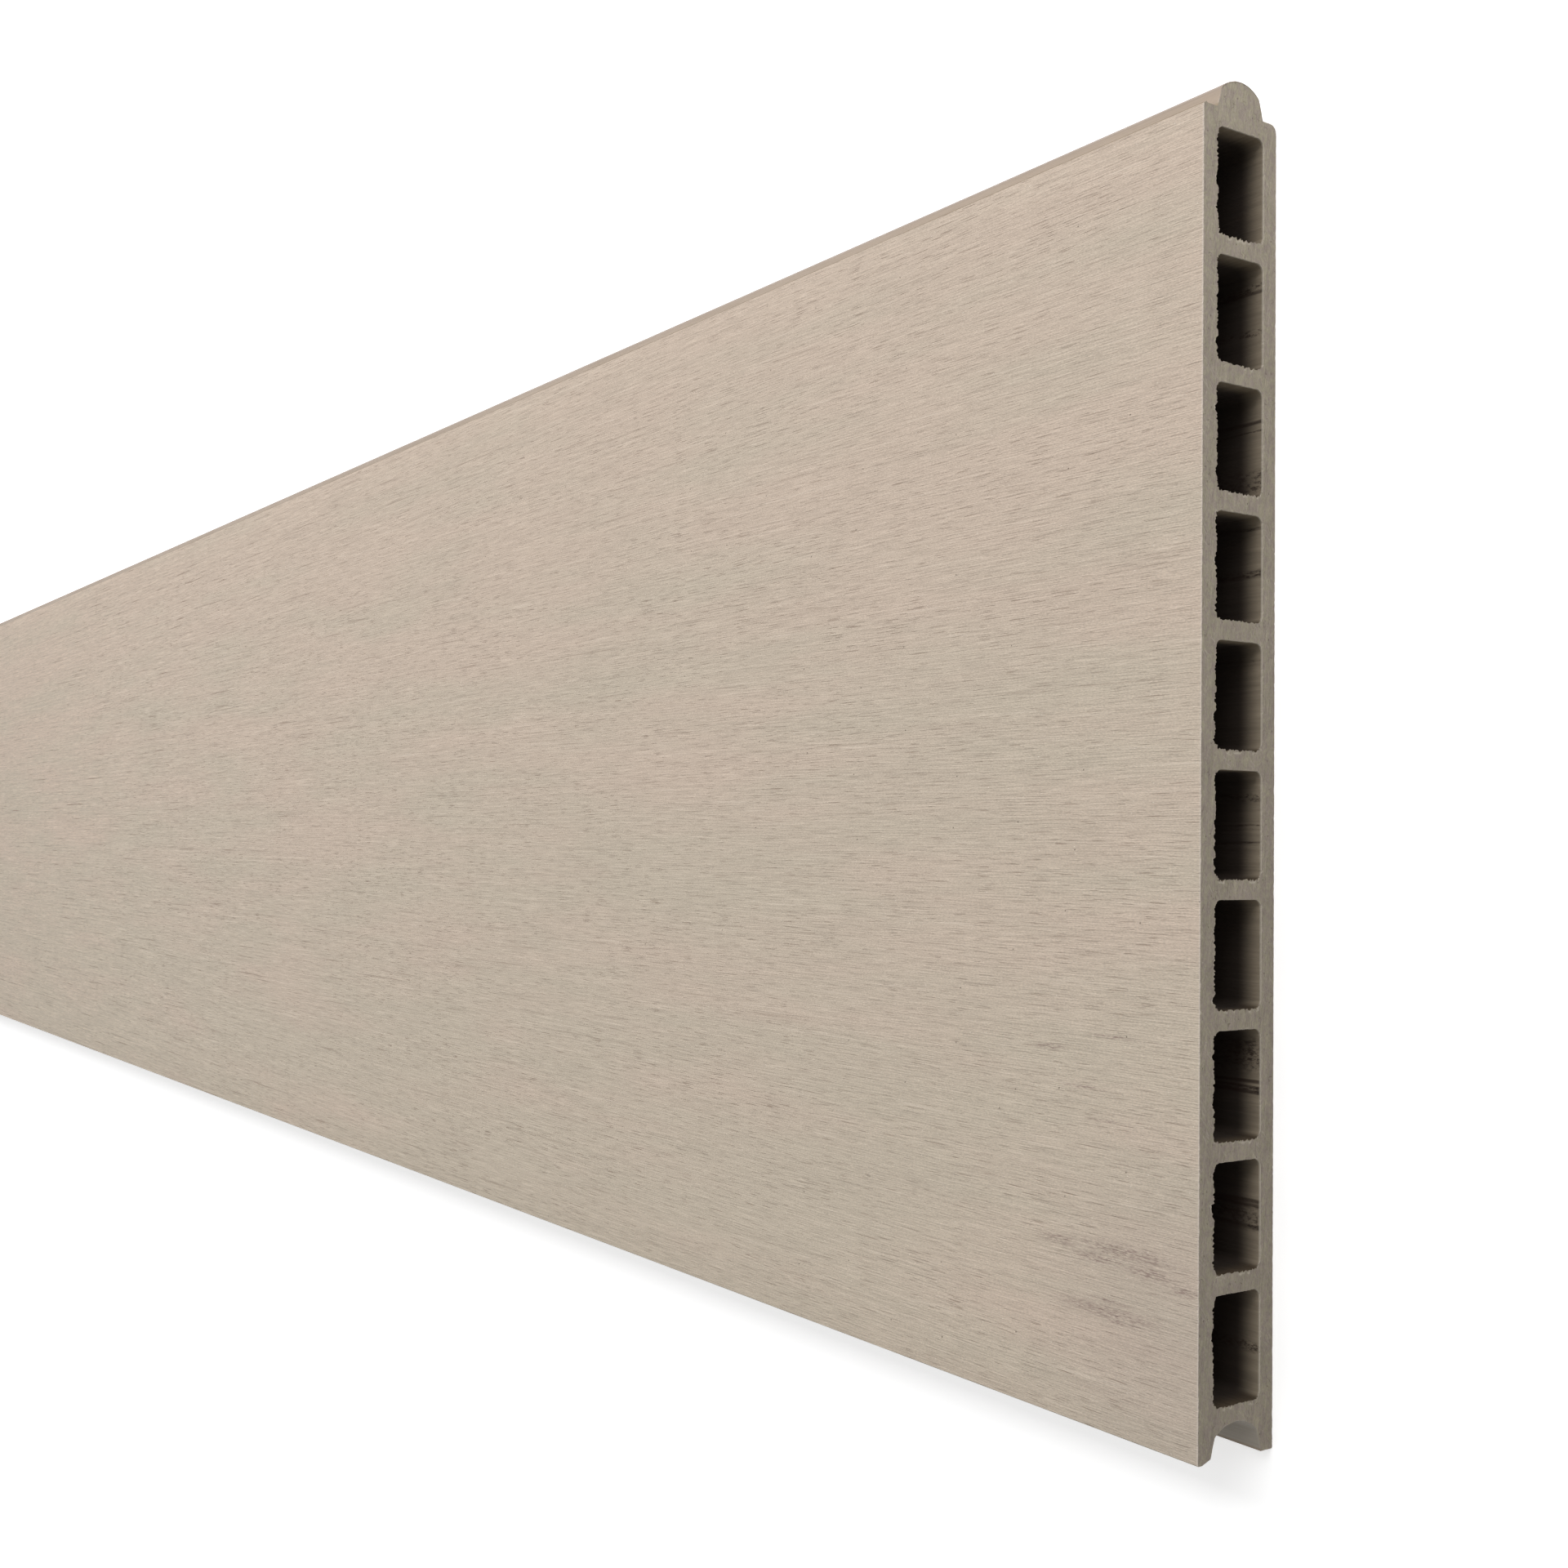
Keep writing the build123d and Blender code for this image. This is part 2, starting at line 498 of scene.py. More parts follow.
def inner_points(outlines):
    """A jittered grid over an end face, kept off its edges."""
    rng = np.random.default_rng(5)
    y, z = np.meshgrid(np.arange(LOW.y, HIGH.y, CUT_GRID), np.arange(0, THICKNESS, CUT_GRID))
    jitter = rng.uniform(-CUT_JITTER, CUT_JITTER, (y.size, 2)) * CUT_GRID
    grid = np.stack([y.ravel(), z.ravel()], 1) + jitter
    grid = grid[inside_of(grid, outlines)]
    rim = np.concatenate(outlines)
    kept = []
    for part in np.array_split(grid, GRID_PARTS):
        gap = np.linalg.norm(part[:, None] - rim[None], axis=2).min(1)
        kept.append(part[gap > CUT_MARGIN * CUT_GRID])
    return np.concatenate(kept)


CUT_SINK = 0.00004  # how far the sawn face lies inside the box, so that its relief stays in it
CUT_RELIEF = 0.8  # the saw's waves, as a share of that
SAW_WAVES = ((35, 210), (90, 20))  # two crossing rows, each with its crests in a metre of y and of z


def cut_relief(points):
    """The saw's faint waves across the cut, as a depth below the end of the box."""
    first, second = (np.sin(2 * np.pi * (points @ crests)) for crests in SAW_WAVES)
    return CUT_SINK * (1 + CUT_RELIEF * first * second)


def plain_rings(skin, loop, chamber):
    """One outline's coarse rings between the ends, from +X to -X, each as its first vertex and its x."""
    inner = HALF_LENGTH - END_ZONE
    rows = np.linspace(-inner, inner, round(2 * inner / RING_SPACING) + 1)
    plain = HALF_LENGTH - FIRST_PLAIN_DEPTH
    points = loop.points[loop.coarse]
    rings = [(skin.ring(points, x), x) for x in (plain, *rows[::-1], -plain)]
    for one, other in zip(rings, rings[1:]):
        skin.bridge(loop, one, other, chamber, coarse=True)
    return rings


def torn_end(skin, loop, side, torn, chamber):
    """One outline's fine rings at one end, from the end inwards, and its points on the end face."""
    shapes = torn_rings(loop, torn)
    places = [side * (HALF_LENGTH - CUT_SINK - depth) for depth in TORN_DEPTHS]
    rings = [(skin.ring(points, x, how_torn), x) for x, (points, how_torn) in zip(places, shapes)]
    for one, other in zip(rings, rings[1:]):
        skin.bridge(loop, one, other, chamber)
    return rings, shapes[0][0]


def board_mesh(materials):
    """The whole board: the outside first, then the chambers from the groove up, then the two end faces."""
    skin = Skin()
    rng = np.random.default_rng(11)
    outlines = [outer_path()] + [chamber_path(i) for i in range(CHAMBER_COUNT)]
    ends = {side: ([], [], []) for side in STEPS}
    for number, outline in enumerate(outlines):
        chamber = number - 1
        loops = {side: sampled(outline, steps[0 if number == 0 else 1]) for side, steps in STEPS.items()}
        plain = plain_rings(skin, loops[1], chamber)
        for side, loop in loops.items():
            torn = torn_arris(loop, rng) if number == 0 else torn_mouth(loop, rng)
            rings, mouth = torn_end(skin, loop, side, torn, chamber)
            skin.fan(loop, rings[-1], plain[0 if side == 1 else -1], chamber)
            for kept, new in zip(ends[side], (loop, rings[0][0], mouth)):
                kept.append(new)
    for side, (loops, firsts, mouths) in ends.items():
        skin.cut(loops, firsts, mouths, side * HALF_LENGTH, cut_relief)
    return skin.mesh("board", materials)


def srgb(red, green, blue):
    """A colour as a picture shows it, from 0 to 255, as the shader's linear RGBA."""
    shown = [c / 255 for c in (red, green, blue)]
    return *[c / 12.92 if c <= 0.04045 else ((c + 0.055) / 1.055) ** 2.4 for c in shown], 1


class Tree:
    """Short ways to add nodes to a node tree. A value is a number, a colour or another node's socket."""

    def __init__(self, tree):
        self.nodes = tree.nodes
        self.links = tree.links

    def put(self, value, socket):
        if isinstance(value, bpy.types.NodeSocket):
            self.links.new(value, socket)
        else:
            socket.default_value = value

    def math(self, operation, *values):
        node = self.nodes.new("ShaderNodeMath")
        node.operation = operation
        for value, socket in zip(values, node.inputs):
            self.put(value, socket)
        return node.outputs[0]

    def vector(self, operation, *values):
        node = self.nodes.new("ShaderNodeVectorMath")
        node.operation = operation
        for value, socket in zip(values, node.inputs):
            self.put(value, socket)
        return node.outputs[0]

    def combine(self, x, y, z):
        node = self.nodes.new("ShaderNodeCombineXYZ")
        for value, socket in zip((x, y, z), node.inputs):
            self.put(value, socket)
        return node.outputs[0]

    def split(self, vector):
        node = self.nodes.new("ShaderNodeSeparateXYZ")
        self.put(vector, node.inputs[0])
        return node.outputs

    def ramp(self, value, low, high, at_low=0.0, at_high=1.0, smooth=False):
        """The value's range from low to high, turned into the range from at_low to at_high."""
        node = self.nodes.new("ShaderNodeMapRange")
        node.interpolation_type = "SMOOTHSTEP" if smooth else "LINEAR"
        for part, socket in zip((value, low, high, at_low, at_high), node.inputs):
            self.put(part, socket)
        return node.outputs[0]

    def seen(self):
        """1 for rays that show the background: the camera's, and those that gloss and glass send on."""
        rays = self.nodes.new("ShaderNodeLightPath").outputs
        either = self.math("MAXIMUM", rays["Is Camera Ray"], rays["Is Glossy Ray"])
        return self.math("MAXIMUM", either, rays["Is Transmission Ray"])


NOISE_SPAN = (0.3, 0.7)  # where nearly all values of a noise lie


class Finish(Tree):
    """A Principled material and the patterns that it is made of. Cells are sizes in metres."""

    def __init__(self, name, **sockets):
        self.material = bpy.data.materials.new(name)
        self.material.use_nodes = True
        super().__init__(self.material.node_tree)
        self.surface = self.nodes["Principled BSDF"]
        for socket, value in sockets.items():
            self.surface.inputs[socket.replace("_", " ")].default_value = value
        own = self.nodes.new("ShaderNodeTexCoord").outputs
        self.place, self.normal = own["Object"], own["Normal"]
        self.x, self.y, self.z = self.split(self.place)
        self.from_end = self.math("SUBTRACT", HALF_LENGTH, self.math("ABSOLUTE", self.x))

    def step(self, value, low, high, most=1.0):
        """Smoothly from 0 at low to the most at high."""
        return self.ramp(value, low, high, 0.0, most, smooth=True)

    def mix(self, share, first, second, kind="MIX"):
        node = self.nodes.new("ShaderNodeMix")
        node.data_type = "RGBA"
        node.blend_type = kind
        self.put(share, node.inputs[0])
        self.put(first, node.inputs[6])
        self.put(second, node.inputs[7])
        return node.outputs[2]

    def tint(self, colour, value, weakest, strongest, span=NOISE_SPAN):
        """The colour times a grey that follows the value over its span."""
        grey = self.ramp(value, *span, weakest, strongest)
        return self.mix(1.0, colour, self.combine(grey, grey, grey), "MULTIPLY")

    def cells(self, place, cell, shift):
        scaled = self.vector("MULTIPLY", place, [1 / c for c in cell])
        return self.vector("ADD", scaled, (shift, shift * 1.7, shift * 2.3))

    def noise(self, place, cell, detail=2.0, roughness=0.5, shift=0.0, swirl=0.0):
        node = self.nodes.new("ShaderNodeTexNoise")
        self.put(swirl, node.inputs["Distortion"])
        self.put(self.cells(place, cell, shift), node.inputs["Vector"])
        self.put(1.0, node.inputs["Scale"])
        self.put(detail, node.inputs["Detail"])
        self.put(roughness, node.inputs["Roughness"])
        return node.outputs["Fac"]

    def lines(self, place, cell, width, detail=1.0, shift=0.0, swirl=0.0):
        """Thin lines that follow the level curves of a noise, as a share of its range."""
        level = self.noise(place, cell, detail, shift=shift, swirl=swirl)
        off = self.math("ABSOLUTE", self.math("SUBTRACT", level, 0.5))
        return self.step(off, width, width * 0.25)

    def specks(self, place, cell, radius, chance, shift=0.0):
        """Uneven dots of a radius given in cells, in that share of a flat grid's cells."""
        node = self.nodes.new("ShaderNodeTexVoronoi")
        node.voronoi_dimensions = "2D"
        ragged = self.math("MULTIPLY", self.noise(place, [c * radius for c in cell]), radius * 1.6)
        shaken = self.vector("ADD", self.cells(place, cell, shift), self.combine(ragged, ragged, 0.0))
        self.put(shaken, node.inputs["Vector"])
        self.put(1.0, node.inputs["Scale"])
        dot = self.step(node.outputs["Distance"], radius, radius * 0.45)
        picked = self.nodes.new("ShaderNodeSeparateColor")
        self.put(node.outputs["Color"], picked.inputs[0])
        return self.math("MULTIPLY", dot, self.math("LESS_THAN", picked.outputs[0], chance))

    def size_of(self, vector):
        """The vector's length."""
        node = self.nodes.new("ShaderNodeVectorMath")
        node.operation = "LENGTH"
        self.put(vector, node.inputs[0])
        return node.outputs["Value"]

    def blot(self, x, y, length, width):
        """A soft oval patch on a face, 1 in its middle and 0 at its rim."""
        from_middle = self.vector("SUBTRACT", self.place, (x, y, 0))
        shrunk = self.vector("MULTIPLY", from_middle, (2 / length, 2 / width, 0))
        return self.step(self.size_of(shrunk), 1.0, 0.1)

    def attribute(self, name):
        node = self.nodes.new("ShaderNodeAttribute")
        node.attribute_name = name
        return node.outputs["Fac"]

    def bump(self, *heights):
        """Relief from the sum of some heights, given as a socket and its size in metres."""
        total = 0.0
        for value, size in heights:
            total = self.math("MULTIPLY_ADD", value, size, total)
        node = self.nodes.new("ShaderNodeBump")
        self.put(1.0, node.inputs["Distance"])
        self.put(total, node.inputs["Height"])
        self.put(node.outputs[0], self.surface.inputs["Normal"])

    def colour(self, value):
        self.put(value, self.surface.inputs["Base Color"])

    def roughness(self, value):
        self.put(value, self.surface.inputs["Roughness"])


FACE_PINK = srgb(206, 188, 171)
FACE_GREEN = srgb(200, 187, 169)
GRAIN_DARK = srgb(142, 118, 101)
GRAIN_PALE = srgb(220, 206, 190)
SMUDGE = srgb(143, 122, 114)
HAZE_COLOUR = srgb(153, 136, 134)
SPECK = srgb(84, 72, 60)
FLECK = srgb(240, 231, 218)
# Paler torn chips along the arrises, and a painted highlight in a thin band along each sawn end
ARRIS_WEAR_AND_HIGHLIGHT = srgb(219, 208, 197)
ARRIS_HIGHLIGHT_WIDTH = 0.00045
EDGE_COLOUR = srgb(166, 148, 130)
# Painted shade in the corners between the shoulders and the tongue
SHOULDER_PAINTED_SHADE = srgb(145, 127, 105)
CROWN_COLOUR = srgb(158, 141, 129)
GROOVE_COLOUR = srgb(158, 149, 136)
CUT_COLOUR = srgb(172, 161, 145)
CUT_VIOLET = srgb(173, 160, 148)
CUT_OLIVE = srgb(171, 162, 142)
CUT_DARK = srgb(116, 105, 91)
CUT_PALE = srgb(206, 197, 181)
# Chamber walls: painted light near the mouths, lighter or darker by the way each wall faces, and painted
# shade deeper in
CHAMBER_LIT_NEAR_MOUTH = srgb(165, 151, 131)
WEB_SHADED_NEAR_MOUTH = srgb(85, 73, 58)  # painted shade near the mouth, on the webs' sides that face the tongue
WEB_LIT_NEAR_MOUTH = srgb(156, 141, 119)  # painted light near the mouth, on those that face the lips
CHAMBER_DEEP_SHADE = srgb(60, 52, 46)
STAIN_COLOUR = srgb(40, 26, 21)
PAINTED_SHADE_REACH = 0.0071  # how far inside a chamber's mouth the painted light reaches before the painted shade deeper in
BURR_AND_HIGHLIGHT_REACH = 0.0006  # how deep the pale rim of a mouth is, partly a pale burr and partly a painted highlight
BURR_AND_HIGHLIGHT_STRENGTH = 0.70

# Dark lines along the chambers: the chamber's number, counted from the groove, the line's place as a share
# of the chamber's height, its width, and how solid it is, from 0 to 1
STAINS = (
    (0, 0.45, 0.0030, 0.0),
    (1, 0.365, 0.0014, 0.6),
    (1, 0.44, 0.0070, 0.1),
    (1, 0.555, 0.0011, 0.9),
    (1, 0.590, 0.0014, 0.9),
    (2, 0.41, 0.0010, 0.9),
    (2, 0.45, 0.0009, 0.8),
    (2, 0.43, 0.0022, 0.1),
    (2, 0.50, 0.0012, 1.0),
    (2, 0.69, 0.0070, 0.1),
    (2, 0.81, 0.0070, 0.2),
    (4, 0.35, 0.0008, 0.5),
    (4, 0.51, 0.0007, 0.4),
    (4, 0.76, 0.0030, 0.0),
    (5, 0.85, 0.0008, 0.1),
    (6, 0.46, 0.0012, 0.4),
    (6, 0.49, 0.0022, 0.1),
    (6, 0.91, 0.0012, 0.5),
    (7, 0.16, 0.0080, 0.1),
    (7, 0.63, 0.0008, 0.3),
    (7, 0.72, 0.0011, 0.9),
    (8, 0.38, 0.0026, 0.0),
    (8, 0.77, 0.0011, 0.8),
    (8, 0.81, 0.0030, 0.1),
)

STAIN_SWAY = 0.0009  # how far they stray to either side
STAIN_STRENGTH = 0.78

FADE_SPAN = (0.10, 0.80)  # where along the board the marks on the faces grow fainter

# Darker grain near the lower corner of the end at +X: middle, length and width of each patch
SMUDGES = (
    (0.8520, -0.0673, 0.018, 0.0026),
    (0.8740, -0.0633, 0.024, 0.0014),
    (0.8645, -0.0757, 0.024, 0.0014),
    (0.8710, -0.0828, 0.018, 0.0012),
    (0.8560, -0.1124, 0.020, 0.0040),
    (0.8690, -0.1146, 0.026, 0.0038),
    (0.8850, -0.1150, 0.024, 0.0046),
    (0.8960, -0.1168, 0.014, 0.0040),
    (0.8780, -0.1118, 0.050, 0.0060),
    (0.8650, -0.1266, 0.024, 0.0022),
    (0.8770, -0.1278, 0.020, 0.0020),
    (0.8730, -0.1236, 0.024, 0.0014),
    (0.8720, -0.1262, 0.050, 0.0050),
)
HAZE = (0.905, -0.132, 0.150, 0.120)  # the wide, faint patch that they lie in
HAZE_STRENGTH = 0.17


def brushed_finish():
    """Both faces: fine brush marks along the board, over patches that drift in colour."""
    f = Finish("brushed_face", Specular_IOR_Level=0.35)
    place = f.place
    fibre = f.noise(place, (0.0130, 0.00036, 0.0003), 2.0, 0.6)
    strand = f.noise(place, (0.0600, 0.00100, 0.0010), 2.0, 0.80, shift=3.1)
    grit = f.noise(place, (0.00075, 0.00030, 0.0003), 2.0, 0.6, shift=6.6)
    busy = f.step(f.noise(place, (0.060, 0.014, 0.014), 3.0, 0.6, shift=7.7), 0.34, 0.70)
    drift = f.noise(place, (0.160, 0.024, 0.026), 3.0, 0.55, shift=1.3)
    cloud = f.noise(place, (0.028, 0.0065, 0.0065), 3.0, 0.6, shift=5.2)
    blotch = f.noise(place, (0.0050, 0.0028, 0.0030), 3.0, 0.6, shift=9.4)

    # All marks grow fainter towards the end at +X, the long lines most of all
    strand_low = f.ramp(f.x, *FADE_SPAN, 0.860, 0.955)
    strand_high = f.ramp(f.x, *FADE_SPAN, 1.100, 1.038)
    fibre_low = f.ramp(f.x, *FADE_SPAN, 0.855, 0.885)
    fibre_high = f.ramp(f.x, *FADE_SPAN, 1.108, 1.085)
    seam = f.ramp(f.x, *FADE_SPAN, 0.80, 0.25)
    marked = f.ramp(f.x, *FADE_SPAN, 0.92, 0.68)

    pinker = f.math("MULTIPLY_ADD", f.y, 1.0, drift)
    colour = f.mix(f.step(pinker, 0.30, 0.70), FACE_GREEN, FACE_PINK)
    colour = f.tint(colour, cloud, 0.989, 1.011)
    colour = f.tint(colour, blotch, 0.990, 1.010)
    colour = f.tint(colour, strand, strand_low, strand_high)
    colour = f.tint(colour, fibre, fibre_low, fibre_high)
    colour = f.tint(colour, grit, 0.87, 1.12)

    pores = f.step(f.noise(place, (0.0095, 0.00028, 0.0003), 1.0, 0.5, shift=11.3), 0.362, 0.290)
    pores = f.math("MULTIPLY", pores, f.ramp(busy, 0.0, 1.0, 0.52, 0.94))
    marks = f.math("MAXIMUM", pores, f.step(strand, 0.37, 0.27, seam))
    colour = f.mix(f.math("MULTIPLY", marks, marked), colour, GRAIN_DARK)
    colour = f.mix(f.step(f.math("MAXIMUM", fibre, strand), 0.62, 0.74, 0.40), colour, GRAIN_PALE)

    blots = 0.0
    for smudge in SMUDGES:
        blots = f.math("MAXIMUM", blots, f.blot(*smudge))
    soot = f.noise(place, (0.0022, 0.00040, 0.0004), 2.0, 0.7, shift=4.4)
    on_show_face = f.step(f.z, 0.0, THICKNESS)
    blots = f.math("MULTIPLY", blots, on_show_face)
    smudged = f.math("MULTIPLY", blots, f.ramp(soot, 0.44, 0.62, 0.06, 0.85))
    haze = f.math("MULTIPLY", f.blot(*HAZE), on_show_face)
    colour = f.mix(f.math("MULTIPLY", haze, HAZE_STRENGTH), colour, HAZE_COLOUR)
    colour = f.mix(smudged, colour, SMUDGE)

    dark_specks = f.specks(place, (0.022, 0.019, 1), 0.013, 0.36, shift=6.1)
    flecks = f.specks(place, (0.0062, 0.0034, 1), 0.040, 0.30, shift=8.3)
    colour = f.mix(f.math("MULTIPLY", dark_specks, 0.85), colour, SPECK)
    colour = f.mix(f.math("MULTIPLY", flecks, 0.55), colour, FLECK)
    # Torn chips are paler, and a thin band along the sawn end is a painted highlight on the arris
    arris_wear_and_highlight = f.math("MAXIMUM", f.attribute("torn"), f.step(f.from_end, ARRIS_HIGHLIGHT_WIDTH, ARRIS_HIGHLIGHT_WIDTH / 2))
    colour = f.mix(f.math("MULTIPLY", arris_wear_and_highlight, 0.55), colour, ARRIS_WEAR_AND_HIGHLIGHT)
    f.colour(colour)
    f.roughness(f.ramp(fibre, *NOISE_SPAN, 0.74, 0.58))
    f.bump((fibre, 0.00018), (grit, 0.00010), (marks, -0.00007))
    return f.material


def edge_finish():
    """The tongue, shoulders, lips and groove, smooth from the die, with faint lines along the board."""
    f = Finish("drawn_edge", Specular_IOR_Level=0.5)
    drawn = f.noise(f.place, (0.200, 0.00100, 0.0010), 3.0, 0.6)
    worn = f.noise(f.place, (0.030, 0.0040, 0.0040), 3.0, 0.6, shift=2.0)
    fibre = f.noise(f.place, (0.0070, 0.00035, 0.00035), 2.0, 0.5, shift=4.0)
    flank_end = SHOULDERS + FLANK_HEIGHT
    # Painted shade: the shoulders are darker where they meet the tongue's flanks
    colour = f.mix(f.step(f.y, SHOULDERS + 0.0002, SHOULDERS + 0.0012), SHOULDER_PAINTED_SHADE, EDGE_COLOUR)
    colour = f.mix(f.step(f.y, flank_end - FLANK_ROUND, flank_end + FLANK_ROUND), colour, CROWN_COLOUR)
    above_lips = f.step(f.y, LIPS, LIPS + LIP_BEVEL_HEIGHT)
    in_groove = f.math("MULTIPLY", above_lips, f.step(f.y, 0.0, LIPS / 2))
    colour = f.mix(in_groove, colour, GROOVE_COLOUR)
    colour = f.tint(colour, drawn, 1.03, 0.93, span=(0.35, 0.65))
    colour = f.tint(colour, worn, 0.96, 1.04)
    colour = f.tint(colour, fibre, 0.965, 1.03)
    colour = f.mix(f.math("MULTIPLY", f.attribute("torn"), 0.4), colour, ARRIS_WEAR_AND_HIGHLIGHT)
    f.colour(colour)
    f.roughness(f.ramp(worn, *NOISE_SPAN, 0.56, 0.44))
    f.bump((drawn, 0.00010), (fibre, 0.00005))
    return f.material


def chamber_finish():
    """The chambers' walls: a smooth dark skin with stains along the board, with painted light near the
    mouths, lighter or darker by the way each wall faces, and painted shade deeper in.
    """
    f = Finish("chamber_wall", Specular_IOR_Level=0.35)
    drawn = f.noise(f.place, (0.060, 0.00120, 0.0012), 3.0, 0.6)
    cloud = f.noise(f.place, (0.024, 0.0030, 0.0030), 4.0, 0.68, shift=3.0)
    facing = f.split(f.normal)[1]
    # Painted light and shade: each wall's colour near the mouth follows the way it faces
    colour = f.mix(f.step(facing, 0.3, 0.9), CHAMBER_LIT_NEAR_MOUTH, WEB_SHADED_NEAR_MOUTH)
    colour = f.mix(f.step(facing, -0.3, -0.9), colour, WEB_LIT_NEAR_MOUTH)
    # Painted shade: the walls darken with depth from the mouth, standing in for the shade inside the
    # chamber
    colour = f.mix(f.step(f.from_end, 0.0, PAINTED_SHADE_REACH), colour, CHAMBER_DEEP_SHADE)
    colour = f.tint(colour, drawn, 0.88, 1.10)
    colour = f.tint(colour, cloud, 1.10, 0.82)

    sway = f.noise(f.place, (0.018, 0.004, 0.004), 3.0, shift=5.0)
    wandering = f.math("ADD", f.y, f.math("MULTIPLY_ADD", sway, 2 * STAIN_SWAY, -STAIN_SWAY))
    spots = f.step(f.noise(f.place, (0.0015, 0.0006, 0.0006), 4.0, 0.7, shift=1.0), 0.44, 0.62)
    for chamber, share, width, solid in STAINS:
        place = CHAMBERS_START + chamber * CHAMBER_PITCH + share * CHAMBER_HEIGHT
        off = f.math("ABSOLUTE", f.math("SUBTRACT", wandering, place))
        stain = f.math("MULTIPLY", f.step(off, width / 2, width / 8), f.ramp(spots, 0.0, 1.0, solid, 1.0))
        colour = f.mix(f.math("MULTIPLY", stain, STAIN_STRENGTH), colour, STAIN_COLOUR)
    # The pale rim is partly a pale burr and partly a painted highlight. The webs' sides that face the
    # tongue have none
    rim = f.step(f.from_end, BURR_AND_HIGHLIGHT_REACH, BURR_AND_HIGHLIGHT_REACH / 2, BURR_AND_HIGHLIGHT_STRENGTH)
    rim = f.math("MULTIPLY", rim, f.step(facing, 0.9, 0.3))
    colour = f.mix(rim, colour, CUT_PALE)
    colour = f.mix(f.step(f.attribute("torn"), 0.2, 1.0, 0.8), colour, CUT_COLOUR)
    f.colour(colour)
    f.roughness(f.ramp(cloud, *NOISE_SPAN, 0.45, 0.65))
    f.bump((drawn, 0.00014), (cloud, 0.00010))
    return f.material


SAW_SLANT = 0.13  # how far the saw's streaks lean from straight across the board's width


def cut_finish():
    """The sawn ends: streaks that the blade left across the board, scratches, smears and fibres."""
    f = Finish("sawn_cut", Specular_IOR_Level=0.3)
    flat = f.combine(f.y, f.z, 0.0)
    place = f.combine(f.y, f.math("MULTIPLY_ADD", f.y, SAW_SLANT, f.z), 0.0)
    across = f.math("MULTIPLY_ADD", f.z, 1.3, f.y)
    along = f.math("MULTIPLY_ADD", f.y, -0.77, f.z)
    crossed = f.combine(across, along, 0.0)
    streak = f.noise(place, (0.0050, 0.00026, 1), 3.0, 0.62)
    comb = f.noise(place, (0.0120, 0.00080, 1), 2.0, 0.5, shift=5.0)
    cloud = f.noise(flat, (0.0060, 0.0035, 1), 3.0, 0.6, shift=2.0)
    smear = f.noise(flat, (0.0026, 0.0016, 1), 3.0, 0.6, shift=6.0, swirl=1.6)
    grain = f.noise(flat, (0.00050, 0.00035, 1), 2.0, 0.6, shift=8.0)
    colour = f.mix(f.step(smear, 0.40, 0.60), CUT_VIOLET, CUT_OLIVE)
    # Painted light: the cut is lighter towards the back face, offsetting the shade near the floor
    colour = f.tint(colour, f.z, 1.05, 0.97, span=(0.0, THICKNESS))
    colour = f.tint(colour, cloud, 0.93, 1.06)
    colour = f.tint(colour, comb, 0.94, 1.06)
    colour = f.tint(colour, streak, 0.89, 1.09)
    colour = f.tint(colour, smear, 0.88, 1.10)
    colour = f.tint(colour, grain, 0.90, 1.09)
    here = f.step(f.noise(flat, (0.009, 0.006, 1), shift=9.0), 0.48, 0.60)
    scratch = f.math("MULTIPLY", f.lines(crossed, (0.0110, 0.0013, 1), 0.016, shift=1.0), here)
    curls = f.lines(flat, (0.0032, 0.0019, 1), 0.016, detail=0.0, shift=7.0, swirl=1.2)
    curls = f.math("MULTIPLY", curls, f.step(f.noise(flat, (0.0050, 0.0030, 1), shift=3.0), 0.56, 0.66))
    colour = f.mix(f.math("MULTIPLY", scratch, 0.45), colour, CUT_PALE)
    colour = f.mix(f.math("MULTIPLY", curls, 0.65), colour, CUT_DARK)
    pits = f.specks(flat, (0.0034, 0.0022, 1), 0.070, 0.24)
    fibres = f.specks(place, (0.0024, 0.0012, 1), 0.09, 0.25, shift=3.0)
    colour = f.mix(f.math("MULTIPLY", pits, 0.7), colour, CUT_DARK)
    colour = f.mix(f.math("MULTIPLY", fibres, 0.4), colour, CUT_PALE)
    colour = f.mix(f.step(f.attribute("torn"), 0.55, 1.0, 0.8), colour, CUT_PALE)

    # A thin line along the tongue's crown, which the saw singed
    crown_radius, crown_centre = crown(0)
    from_centre = f.vector("SUBTRACT", flat, (SHOULDERS + crown_centre, MIDDLE, 0))
    singed = f.step(f.size_of(from_centre), crown_radius - 0.0005, crown_radius - 0.0001)
    singed = f.math("MULTIPLY", singed, f.step(f.y, SHOULDERS + 0.002, SHOULDERS + 0.004))
    colour = f.mix(f.math("MULTIPLY", singed, 0.7), colour, CUT_DARK)
    f.colour(colour)
    f.roughness(f.ramp(streak, *NOISE_SPAN, 0.85, 0.68))
    f.bump((streak, 0.00012), (comb, 0.00012), (smear, 0.00016), (curls, -0.00006), (pits, -0.00012))
    return f.material


CAMERA_PLACE = (1.1799, -0.02124, 0.32698)
CAMERA_YAW = math.radians(55.535)  # from straight down towards the board's far end
CAMERA_PITCH = math.radians(2.064)
CAMERA_ROLL = math.radians(0.726)
CAMERA_LENS = 42.15
CAMERA_SENSOR = 36.0


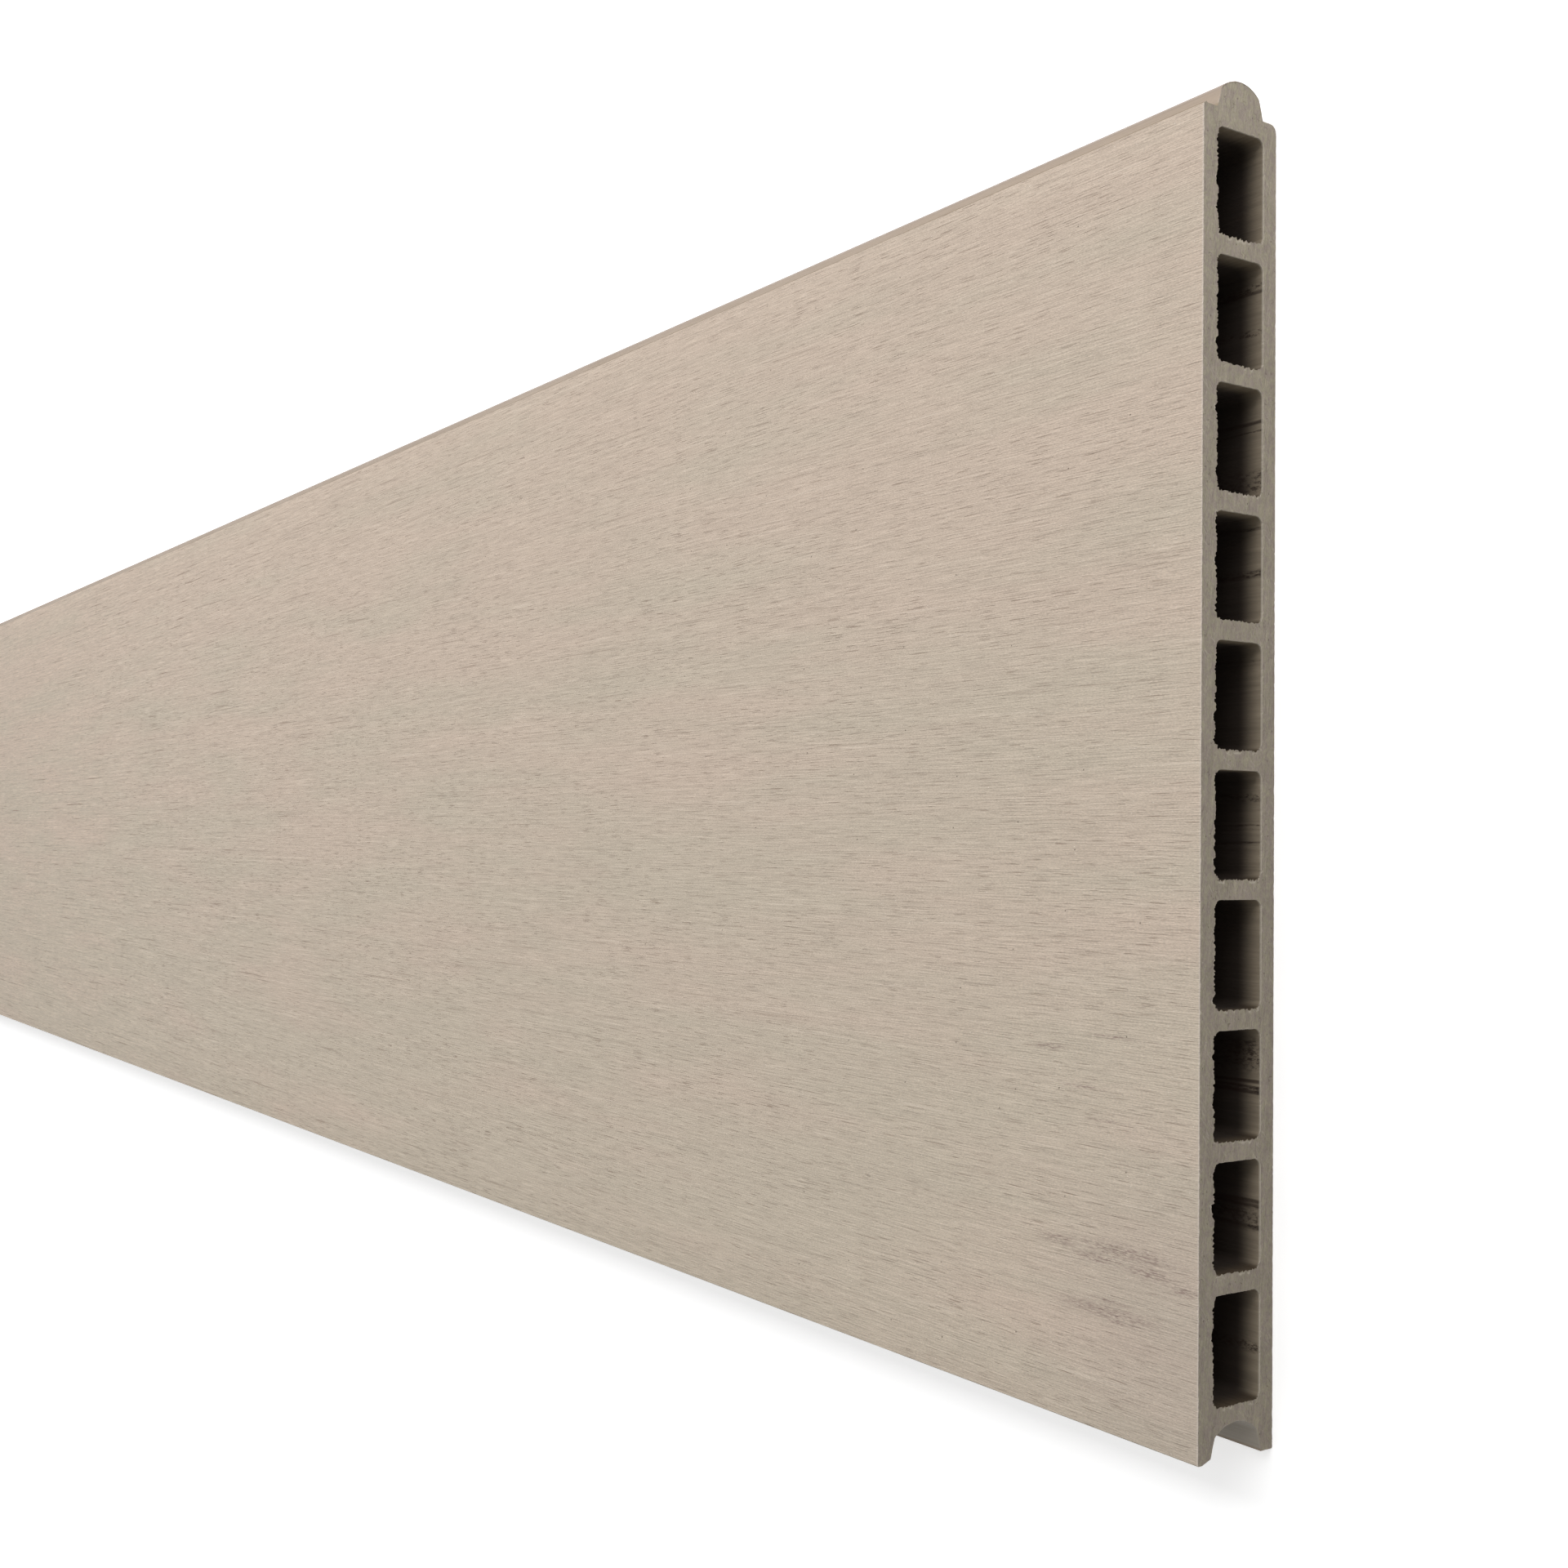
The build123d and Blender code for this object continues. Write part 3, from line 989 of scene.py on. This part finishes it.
def make_camera():
    """Beyond the sawn end, looking down along the board, with the tongue at the top of the picture."""
    right = Vector((math.cos(CAMERA_YAW), 0, -math.sin(CAMERA_YAW)))
    ahead = Vector((-math.sin(CAMERA_YAW), 0, -math.cos(CAMERA_YAW)))
    up = Vector((0, 1, 0))
    ahead, up = (
        ahead * math.cos(CAMERA_PITCH) + up * math.sin(CAMERA_PITCH),
        up * math.cos(CAMERA_PITCH) - ahead * math.sin(CAMERA_PITCH),
    )
    right, up = (
        right * math.cos(CAMERA_ROLL) + up * math.sin(CAMERA_ROLL),
        up * math.cos(CAMERA_ROLL) - right * math.sin(CAMERA_ROLL),
    )
    data = bpy.data.cameras.new("camera")
    data.lens = CAMERA_LENS
    data.sensor_width = CAMERA_SENSOR
    data.clip_start = 0.01
    data.clip_end = 200
    camera = bpy.data.objects.new("camera", data)
    turn = Matrix((right, up, -ahead)).transposed().to_4x4()
    camera.matrix_world = Matrix.Translation(CAMERA_PLACE) @ turn
    bpy.context.scene.collection.objects.link(camera)
    bpy.context.scene.camera = camera


SKY_LEVEL = 0.56  # straight overhead
HORIZON_LEVEL = 0.10
# Each lamp's place, the point it faces, its size and its power in watts
LAMPS = {
    "key": ((0.45, 1.05, 1.35), (0.45, 0.0, 0.0), (3.2, 0.9), 27.0),
    "end_fill": ((1.22, 0.37, 0.045), (0.9, 0.06, 0.010), (0.30, 0.08), 0.56),
}


def make_lights():
    world = bpy.data.worlds.new("studio")
    bpy.context.scene.world = world
    world.use_nodes = True
    tree = Tree(world.node_tree)
    direction = tree.nodes.new("ShaderNodeTexCoord").outputs["Generated"]
    sky = tree.ramp(tree.split(direction)[2], 0.0, 1.0, HORIZON_LEVEL, SKY_LEVEL)
    background = tree.nodes["Background"]
    tree.put((1, 1, 1, 1), background.inputs["Color"])
    tree.put(tree.ramp(tree.seen(), 0.0, 1.0, sky, 1.0), background.inputs["Strength"])
    for name, (place, aim, size, watts) in LAMPS.items():
        light = bpy.data.lights.new(name, "AREA")
        light.shape = "RECTANGLE"
        light.size, light.size_y = size
        light.energy = watts
        lamp = bpy.data.objects.new(name, light)
        lamp.location = place
        lamp.rotation_euler = (Vector(aim) - Vector(place)).to_track_quat("-Z", "Y").to_euler()
        lamp.visible_camera = False
        bpy.context.scene.collection.objects.link(lamp)


FLOOR_SEEN = 0.94  # the floor's own grey for rays that show it
FLOOR_LIFT = (0.50, 0.64)  # the light that it adds there, near the board and far away, to be white
FLOOR_FAR = (0.8, 2.5)  # where the one turns into the other, from the middle of the board
FLOOR_BOUNCE = 0.45  # its grey for all other rays, so that it lights the board only a little
FLOOR_REACH = 30.0


def make_floor():
    mesh = bpy.data.meshes.new("floor")
    corners = [(x * FLOOR_REACH, y * FLOOR_REACH, 0) for x, y in ((-1, -1), (1, -1), (1, 1), (-1, 1))]
    mesh.from_pydata(corners, [], [(0, 1, 2, 3)])
    finish = Finish("floor", Roughness=0.9, Specular_IOR_Level=0.1, Emission_Color=(1, 1, 1, 1))
    seen = finish.seen()
    grey = finish.ramp(seen, 0.0, 1.0, FLOOR_BOUNCE, FLOOR_SEEN)
    finish.colour(finish.combine(grey, grey, grey))
    lift = finish.ramp(finish.size_of(finish.place), *FLOOR_FAR, *FLOOR_LIFT, smooth=True)
    finish.put(finish.math("MULTIPLY", seen, lift), finish.surface.inputs["Emission Strength"])
    mesh.materials.append(finish.material)
    floor = bpy.data.objects.new("floor", mesh)
    bpy.context.scene.collection.objects.link(floor)


def make_board():
    materials = [brushed_finish(), edge_finish(), chamber_finish(), cut_finish()]
    board = bpy.data.objects.new("board", board_mesh(materials))
    bpy.context.scene.collection.objects.link(board)
    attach(board, "root")
    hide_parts("fence_board")


bpy.context.scene.view_settings.view_transform = "Standard"
make_camera()
make_lights()
make_floor()
make_board()
